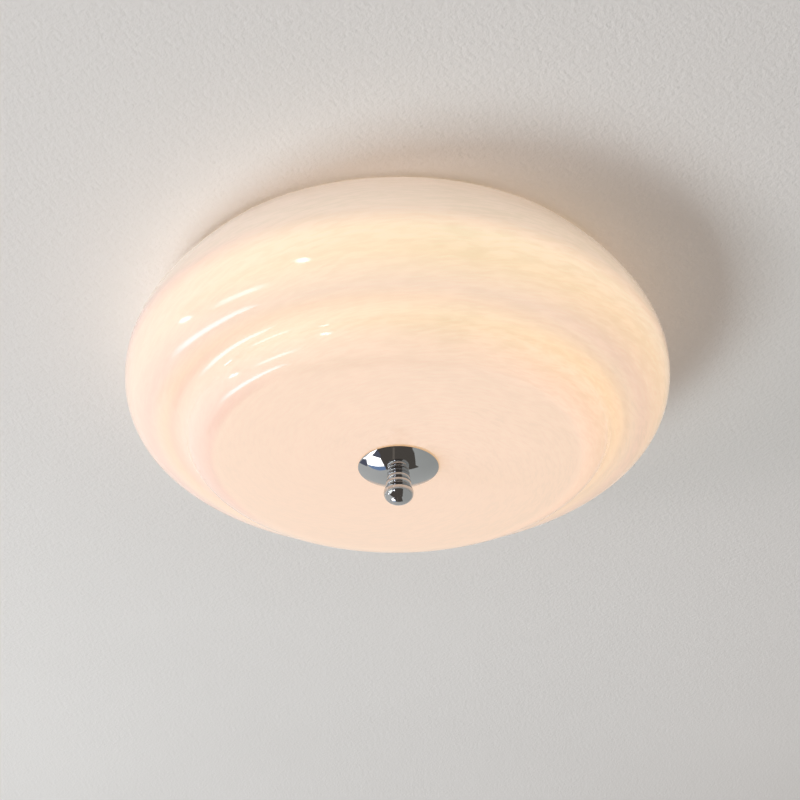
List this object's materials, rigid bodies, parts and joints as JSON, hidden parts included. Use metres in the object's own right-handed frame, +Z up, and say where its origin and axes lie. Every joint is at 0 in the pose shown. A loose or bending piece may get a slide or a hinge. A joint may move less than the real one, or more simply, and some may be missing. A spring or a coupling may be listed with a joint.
{
  "type": "flush mount ceiling light",
  "caption": "Round flush ceiling light: a stepped two-tier opal glass shade held by a chrome cap and screw-on ball finial below a steel chassis pan with an LED panel.",
  "frame": {"origin": "centre of the ceiling bracket's two slots, in the plane of the ceiling and on the axis of the centre rod", "axes": "+Z up, out of the top face against the ceiling; the bracket's slots lie along X; the driver lies on the +Y side and the terminal block on the -Y side"},
  "size_m": [0.3999, 0.4, 0.1481],
  "materials": {
    "galvanised_steel": "galvanised sheet with faint spangle",
    "zinc_steel": "bright zinc plate",
    "zinc_rod": "zinc-plated thread",
    "bright_nickel": "nickel plate",
    "grey_foam": "closed-cell foam",
    "white_enamel": "white powder coat",
    "white_mask_aluminium": "white solder mask on aluminium",
    "nylon_white": "moulded nylon",
    "led_phosphor": "warm white phosphor",
    "clear_acrylic": "frosted acrylic lens",
    "connector_ivory": "moulded connector",
    "connector_white": "moulded connector",
    "driver_plastic": "moulded flame-retardant plastic",
    "driver_lid_plastic": "moulded flame-retardant plastic",
    "green_laminate": "solder mask on glass laminate",
    "transformer_tape": "yellow tape on a ferrite core",
    "capacitor_sleeve": "shrink sleeve",
    "terminal_nylon": "moulded polyamide",
    "brass": "turned brass",
    "brown_pvc": "wire insulation",
    "blue_pvc": "wire insulation",
    "green_yellow_pvc": "green wire insulation with a yellow stripe",
    "red_pvc": "wire insulation",
    "black_pvc": "wire insulation",
    "black_rubber": "moulded rubber",
    "tinned_brass": "tinned brass",
    "green_zinc": "green zinc plate",
    "opal_glass": "glossy opal glass with clouded brush-like streaks, lit from inside",
    "clear_silicone": "translucent silicone",
    "chrome_cap": "polished chrome",
    "chrome_collar": "polished chrome",
    "chrome_finial": "polished chrome"
  },
  "bodies": {
    "fixture": {"ceiling_bracket": "galvanised_steel", "mounting_studs": "zinc_steel", "stud_lock_nuts": "zinc_steel", "pan_gasket": "grey_foam", "chassis_pan": "white_enamel", "stud_washers": "zinc_steel", "cap_nuts": "bright_nickel", "center_rod": "zinc_rod", "rod_lock_washer": "zinc_steel", "rod_upper_nut": "zinc_steel", "rod_lower_washer": "zinc_steel", "rod_lower_nut": "zinc_steel", "shade_stop_nut": "zinc_steel", "shade_stop_disc": "zinc_steel", "led_board": "white_mask_aluminium", "led_spacers": "nylon_white", "led_board_screws": "zinc_steel", "led_chips": "led_phosphor", "led_lenses": "clear_acrylic", "led_socket": "connector_ivory", "led_plug": "connector_white", "driver_base": "driver_plastic", "driver_lid": "driver_lid_plastic", "driver_circuit_board": "green_laminate", "driver_transformer": "transformer_tape", "driver_capacitors": "capacitor_sleeve", "driver_screws": "zinc_steel", "terminal_block": "terminal_nylon", "terminal_inserts": "brass", "terminal_screws": "zinc_steel", "terminal_mount_screws": "zinc_steel", "live_wire": "brown_pvc", "neutral_wire": "blue_pvc", "earth_wire": "green_yellow_pvc", "led_positive_wire": "red_pvc", "led_negative_wire": "black_pvc", "wire_grommet": "black_rubber", "earth_tab": "tinned_brass", "earth_screw": "green_zinc"},
    "shade": {"glass_shade": "opal_glass", "shade_bush": "clear_silicone", "shade_washer": "clear_silicone"},
    "cap": {"finial_cap": "chrome_cap", "finial_collar": "chrome_collar"},
    "finial": {"finial_ball": "chrome_finial"}
  },
  "joints": [
    {"name": "shade_drop", "type": "slide", "parent": "fixture", "child": "shade", "axis": [0, 0, -1], "range_m": [0, 0.15]},
    {"name": "cap_travel", "type": "slide", "parent": "shade", "child": "cap", "axis": [0, 0, -1], "range_m": [0, 0.011]},
    {"name": "finial_unscrew", "type": "hinge", "parent": "cap", "child": "finial", "pos_m": [0, 0, -0.14], "axis": [0, 0, -1], "range_deg": [0, 3965]}
  ],
  "couplings": [
    {"joint": "finial_unscrew", "follows": "cap_travel", "rad_per_m": 6283.2}
  ]
}
